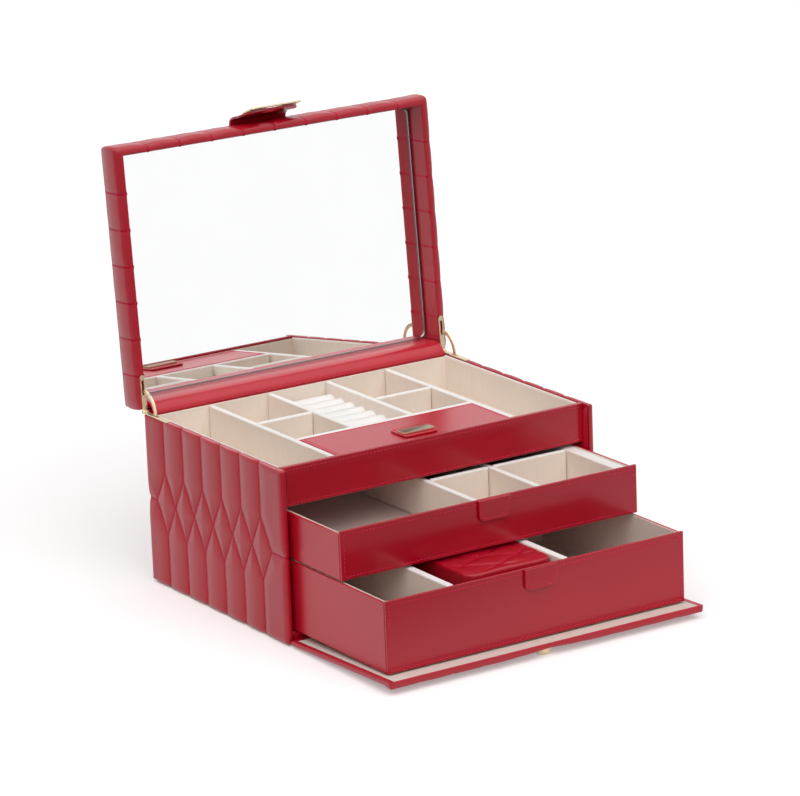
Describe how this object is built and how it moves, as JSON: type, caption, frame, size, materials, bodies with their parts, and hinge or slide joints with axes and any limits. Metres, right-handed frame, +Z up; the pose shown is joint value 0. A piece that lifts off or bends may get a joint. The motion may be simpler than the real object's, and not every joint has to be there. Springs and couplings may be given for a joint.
{
  "type": "jewelry box",
  "caption": "Red quilted leather jewelry box with a mirrored lid, divided top tray, pull-out drawers and a fold-down front flap with a turn knob.",
  "frame": {"origin": "centre of the base pad's underside, where the case stands on the table", "axes": "+Z up, -Y toward the front with the drawers and the flap, +X to the right seen from the front"},
  "size_m": [0.323, 0.442, 0.4066],
  "materials": {
    "red_leather": "semi-gloss grained red leather, padded and quilted",
    "smooth_leather": "smooth semi-gloss red leather",
    "lining": "matte cream suede cloth",
    "divider_card": "matte pale cloth over card",
    "ring_cloth": "matte cream suede cloth over foam rolls",
    "gold": "polished pale gold",
    "silver": "polished silver",
    "mirror_glass": "silvered mirror"
  },
  "bodies": {
    "case": {"base_pad": "lining", "base_board": "red_leather", "side_panel_left": "red_leather", "side_panel_right": "red_leather", "back_panel": "red_leather", "drawer_shelf": "red_leather", "tray_floor": "red_leather", "tray_front_wall": "red_leather", "tray_lining": "lining", "tray_divider_left": "divider_card", "tray_divider_right": "divider_card", "ring_divider_left": "divider_card", "ring_divider_right": "divider_card", "small_divider_left": "divider_card", "small_divider_right": "divider_card", "compartment_back_wall": "divider_card", "ring_roll_pad": "ring_cloth", "hinge_base_leaf_left": "gold", "hinge_base_leaf_right": "gold", "hinge_pin_left": "gold", "hinge_pin_right": "gold", "flap_hinge_strip": "red_leather"},
    "lid": {"lid_rim_left": "red_leather", "lid_rim_right": "red_leather", "lid_rim_front": "red_leather", "lid_rim_rear": "red_leather", "lid_top_panel": "red_leather", "mirror": "mirror_glass", "mirror_bezel": "silver", "hinge_lid_leaf_left": "gold", "hinge_lid_leaf_right": "gold", "lid_hinge_strip": "red_leather", "clasp_strap": "red_leather", "clasp_plate": "gold"},
    "stay_left": {"stay_arm_left": "gold"},
    "stay_right": {"stay_arm_right": "gold"},
    "cover": {"compartment_cover": "smooth_leather", "cover_tab": "smooth_leather", "cover_plate": "gold"},
    "upper_drawer": {"upper_drawer_front": "red_leather", "upper_drawer_box": "smooth_leather", "upper_drawer_lining": "lining", "upper_drawer_pull_tab": "red_leather", "upper_drawer_divider_1": "divider_card", "upper_drawer_divider_2": "divider_card", "upper_drawer_side_wall": "divider_card", "upper_drawer_cross_wall_1": "divider_card", "upper_drawer_cross_wall_2": "divider_card"},
    "lower_drawer": {"lower_drawer_front": "red_leather", "lower_drawer_box": "smooth_leather", "lower_drawer_lining": "lining", "lower_drawer_pull_tab": "red_leather", "lower_drawer_divider_1": "divider_card", "lower_drawer_divider_2": "divider_card", "travel_case_base": "red_leather", "travel_case_lid": "red_leather"},
    "flap": {"flap_board": "red_leather", "flap_lining": "lining", "knob_collar": "gold"},
    "knob": {"turn_knob": "gold"}
  },
  "joints": [
    {"name": "lid_hinge", "type": "hinge", "parent": "case", "child": "lid", "pos_m": [0, 0.1174, 0.1556], "axis": [-1, 0, 0], "range_deg": [-94.6, 0], "deforming": ["lid_hinge_strip"]},
    {"name": "stay_left_pivot", "type": "hinge", "parent": "case", "child": "stay_left", "pos_m": [-0.157, 0.0994, 0.1518], "axis": [-1, 0, 0], "range_deg": [-25, 0]},
    {"name": "stay_right_pivot", "type": "hinge", "parent": "case", "child": "stay_right", "pos_m": [0.157, 0.0994, 0.1518], "axis": [-1, 0, 0], "range_deg": [-25, 0]},
    {"name": "cover_hinge", "type": "hinge", "parent": "case", "child": "cover", "pos_m": [0, -0.0366, 0.1528], "axis": [-1, 0, 0], "range_deg": [0, 100]},
    {"name": "upper_drawer_slide", "type": "slide", "parent": "case", "child": "upper_drawer", "axis": [0, -1, 0], "range_m": [-0.0844, 0.06]},
    {"name": "lower_drawer_slide", "type": "slide", "parent": "case", "child": "lower_drawer", "axis": [0, -1, 0], "range_m": [-0.1507, 0.008]},
    {"name": "flap_hinge", "type": "hinge", "parent": "case", "child": "flap", "pos_m": [0, -0.1166, 0.0032], "axis": [-1, 0, 0], "range_deg": [0, 0.3]},
    {"name": "knob_turn", "type": "hinge", "parent": "flap", "child": "knob", "pos_m": [0, -0.26351, 0.00846], "axis": [0, 0.0358, 0.9994], "range_deg": [0, 90]}
  ],
  "couplings": [
    {"joint": "stay_left_pivot", "follows": "lid_hinge", "ratio": 0.26427},
    {"joint": "stay_right_pivot", "follows": "lid_hinge", "ratio": 0.26427}
  ]
}
